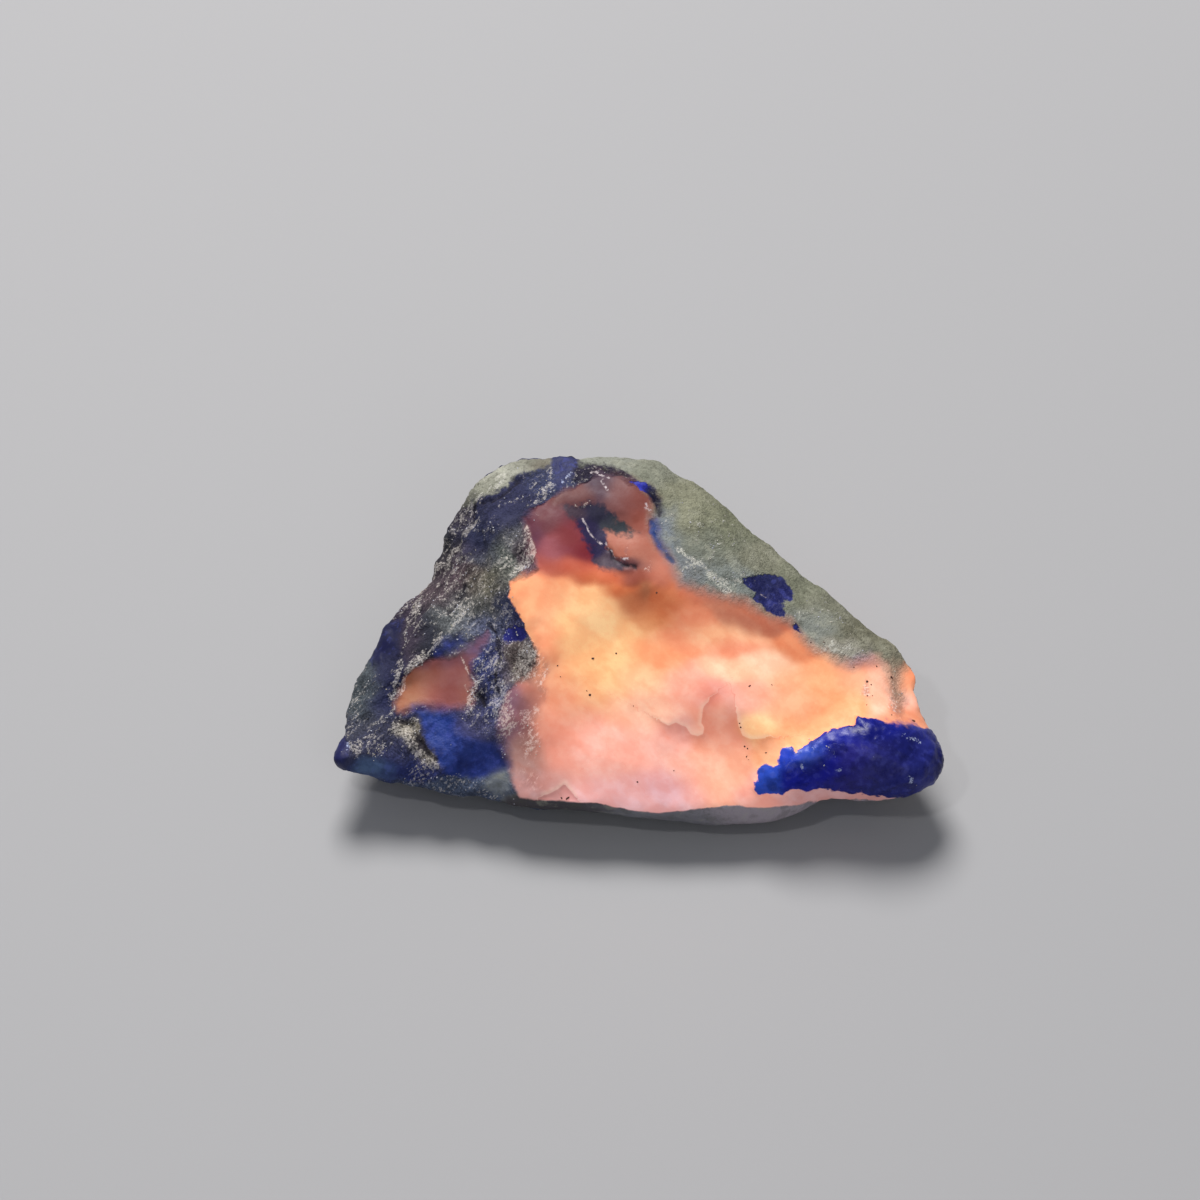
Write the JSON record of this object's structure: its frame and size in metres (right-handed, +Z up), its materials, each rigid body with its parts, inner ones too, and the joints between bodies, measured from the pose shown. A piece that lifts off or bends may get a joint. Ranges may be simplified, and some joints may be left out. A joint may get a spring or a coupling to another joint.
{
  "type": "rough afghanite stone",
  "caption": "Broken wedge of rough afghanite with a smooth orange face, a blue lump at one end and a dark layered rind, lying on a small flat spot",
  "frame": {"origin": "on the surface the stone lies on, under the middle of its bounding box", "axes": "+Z up; +X along the stone's length, from the left knob to the blue lump; +Y from the low front edge to the high back"},
  "size_m": [0.0304, 0.017, 0.0114],
  "materials": {
    "stone": "smooth orange fracture face, glossy blue lump, rough dark and grey-green rind"
  },
  "bodies": {
    "root": {"afghanite_stone": "stone"}
  },
  "joints": []
}
